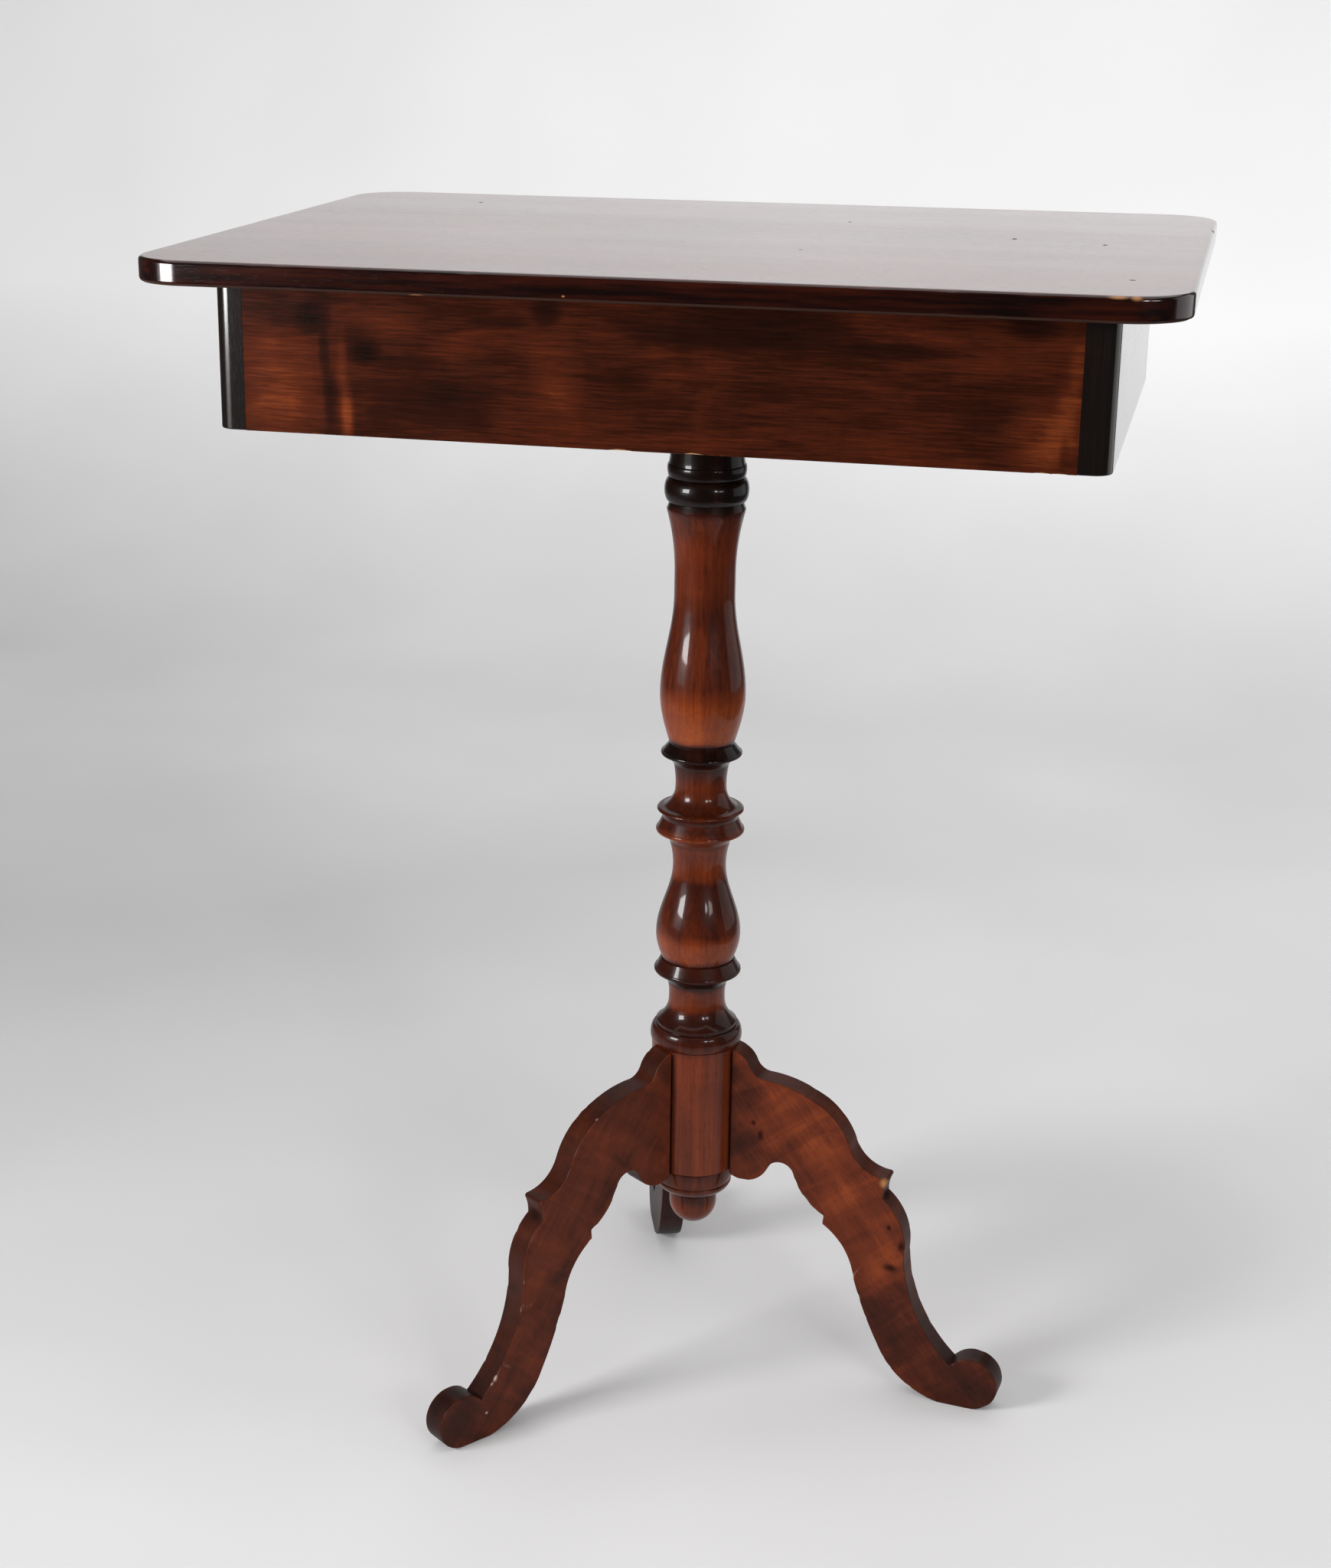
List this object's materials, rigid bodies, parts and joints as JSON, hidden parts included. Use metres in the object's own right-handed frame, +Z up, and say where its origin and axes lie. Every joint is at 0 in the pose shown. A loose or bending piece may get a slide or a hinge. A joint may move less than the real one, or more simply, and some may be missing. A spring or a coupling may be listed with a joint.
{
  "type": "pedestal side table",
  "caption": "Small rectangular occasional table with a veneered frieze and ebonised corner posts, on a turned baluster column and scroll-cut tripod legs.",
  "frame": {"origin": "on the floor, on the axis of the turned column, under the centre of the top", "axes": "+Z up; +X to the right along the top's length; -Y towards the viewer in front of the table"},
  "size_m": [0.578, 0.418, 0.75],
  "materials": {
    "top": "french-polished mahogany, red-brown under a high gloss",
    "veneer": "figured mahogany veneer, polished, brown with dark clouds",
    "softwood": "planed pine, unpolished, darkened with age",
    "ebonised": "black-stained fruitwood, polished",
    "screws": "plain steel, dulled",
    "column": "turned mahogany, glossy, darker in the quirks",
    "wedge": "split beech, unpolished",
    "legs": "sawn and scraped mahogany, satin"
  },
  "bodies": {
    "root": {"top_board_front": "top", "top_board_rear": "top", "veneer_front": "veneer", "veneer_rear": "veneer", "veneer_left": "veneer", "veneer_right": "veneer", "rail_front": "softwood", "rail_rear": "softwood", "rail_left": "softwood", "rail_right": "softwood", "post_front_left": "ebonised", "post_front_right": "ebonised", "post_rear_left": "ebonised", "post_rear_right": "ebonised", "corner_blocks": "softwood", "top_blocks": "softwood", "top_screws": "screws", "bearer": "softwood", "bearer_blocks": "softwood", "column": "column", "tenon_wedge": "wedge", "leg_right": "legs", "leg_left": "legs", "leg_rear": "legs", "drop": "column"}
  },
  "joints": []
}
